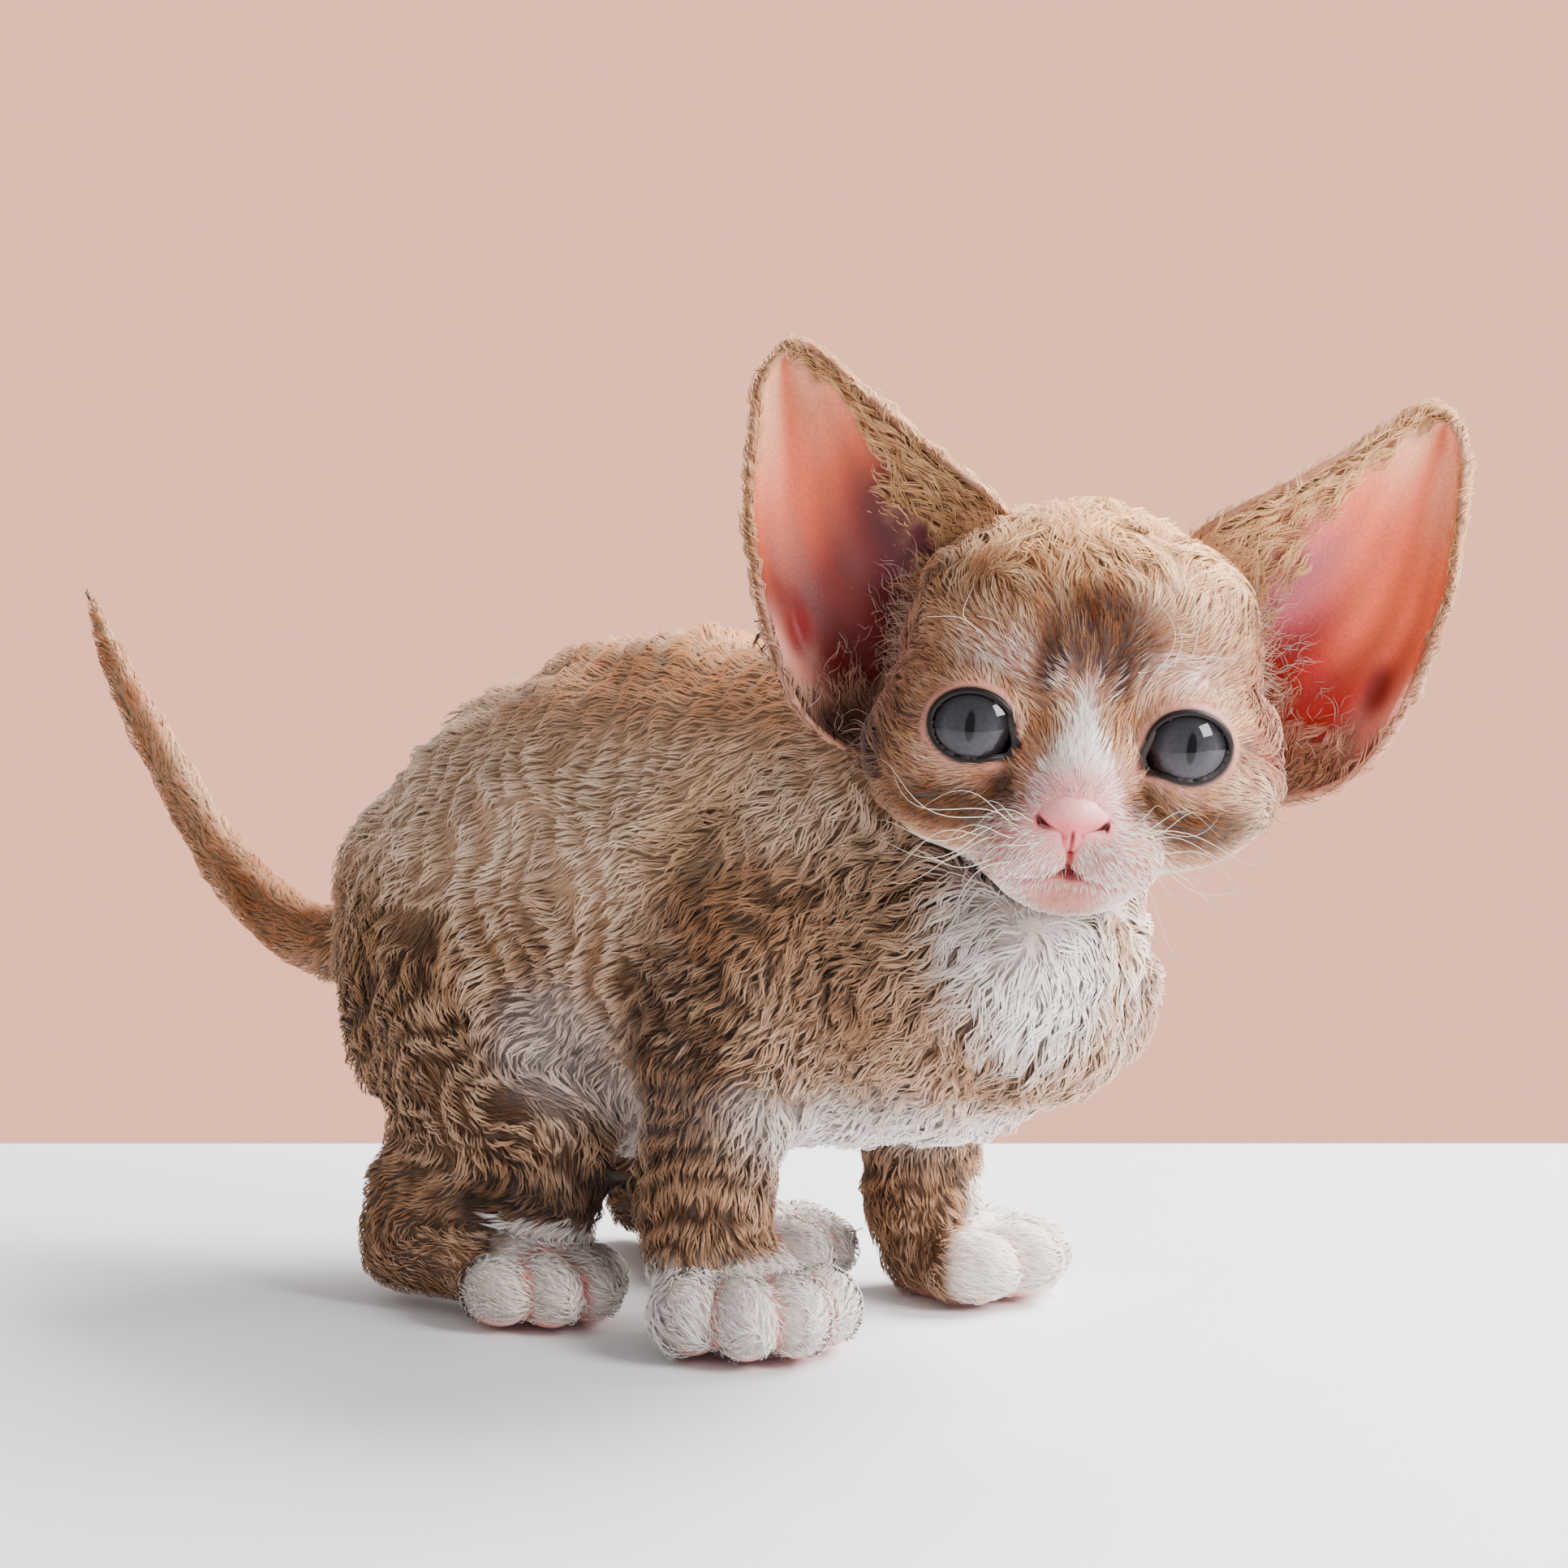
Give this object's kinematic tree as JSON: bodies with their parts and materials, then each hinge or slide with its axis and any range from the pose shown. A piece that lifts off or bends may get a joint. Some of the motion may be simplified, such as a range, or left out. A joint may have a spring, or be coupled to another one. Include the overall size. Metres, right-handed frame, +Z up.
{
  "type": "kitten figure",
  "caption": "Life-size young rex kitten, half crouched on four paws, head turned to its right, large ears, short waved coat and raised tail.",
  "frame": {"origin": "on the floor under the middle of the kitten's box, from the tail's tip to the face and from paw to paw", "axes": "+X the way the body faces, +Y the kitten's left side, +Z up from the floor"},
  "size_m": [0.2346, 0.08, 0.1444],
  "materials": {
    "coat_back": "short waved fur",
    "coat_chest": "short waved fur",
    "coat_neck": "short waved fur",
    "coat_head": "short waved fur",
    "nose_leather": "moist bare skin",
    "eye": "wet, clear",
    "ear": "bare skin inside, short fur outside",
    "coat_tail": "short waved fur",
    "leg": "short waved fur",
    "paw": "short white fur"
  },
  "bodies": {
    "root": {"torso": "coat_back", "chest": "coat_chest", "neck": "coat_neck", "head": "coat_head", "nose": "nose_leather", "eye_left": "eye", "ear_left": "ear", "eye_right": "eye", "ear_right": "ear", "tail": "coat_tail", "foreleg_right": "leg", "forepaw_right": "paw", "foreleg_left": "leg", "forepaw_left": "paw", "hindleg_right": "leg", "hindpaw_right": "paw", "hindleg_left": "leg", "hindpaw_left": "paw"}
  },
  "joints": []
}
